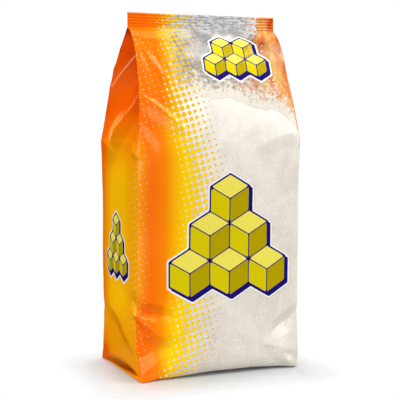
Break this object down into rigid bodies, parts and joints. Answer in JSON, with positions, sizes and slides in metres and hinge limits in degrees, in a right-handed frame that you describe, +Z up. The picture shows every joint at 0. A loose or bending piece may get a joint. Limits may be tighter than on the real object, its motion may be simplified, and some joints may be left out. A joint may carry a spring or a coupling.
{
  "type": "bag of sugar",
  "caption": "Upright film bag of granulated sugar with tucked side panels, a flat base and a flat crimped seal along the top.",
  "frame": {"origin": "centre of the flat base, on the table", "axes": "+Z up to the seal, front panel towards -Y, width along X"},
  "size_m": [0.1086, 0.073, 0.215],
  "materials": {
    "printed_film": "glossy clear film, printed orange and yellow"
  },
  "bodies": {
    "root": {"bag": "printed_film"}
  },
  "joints": []
}
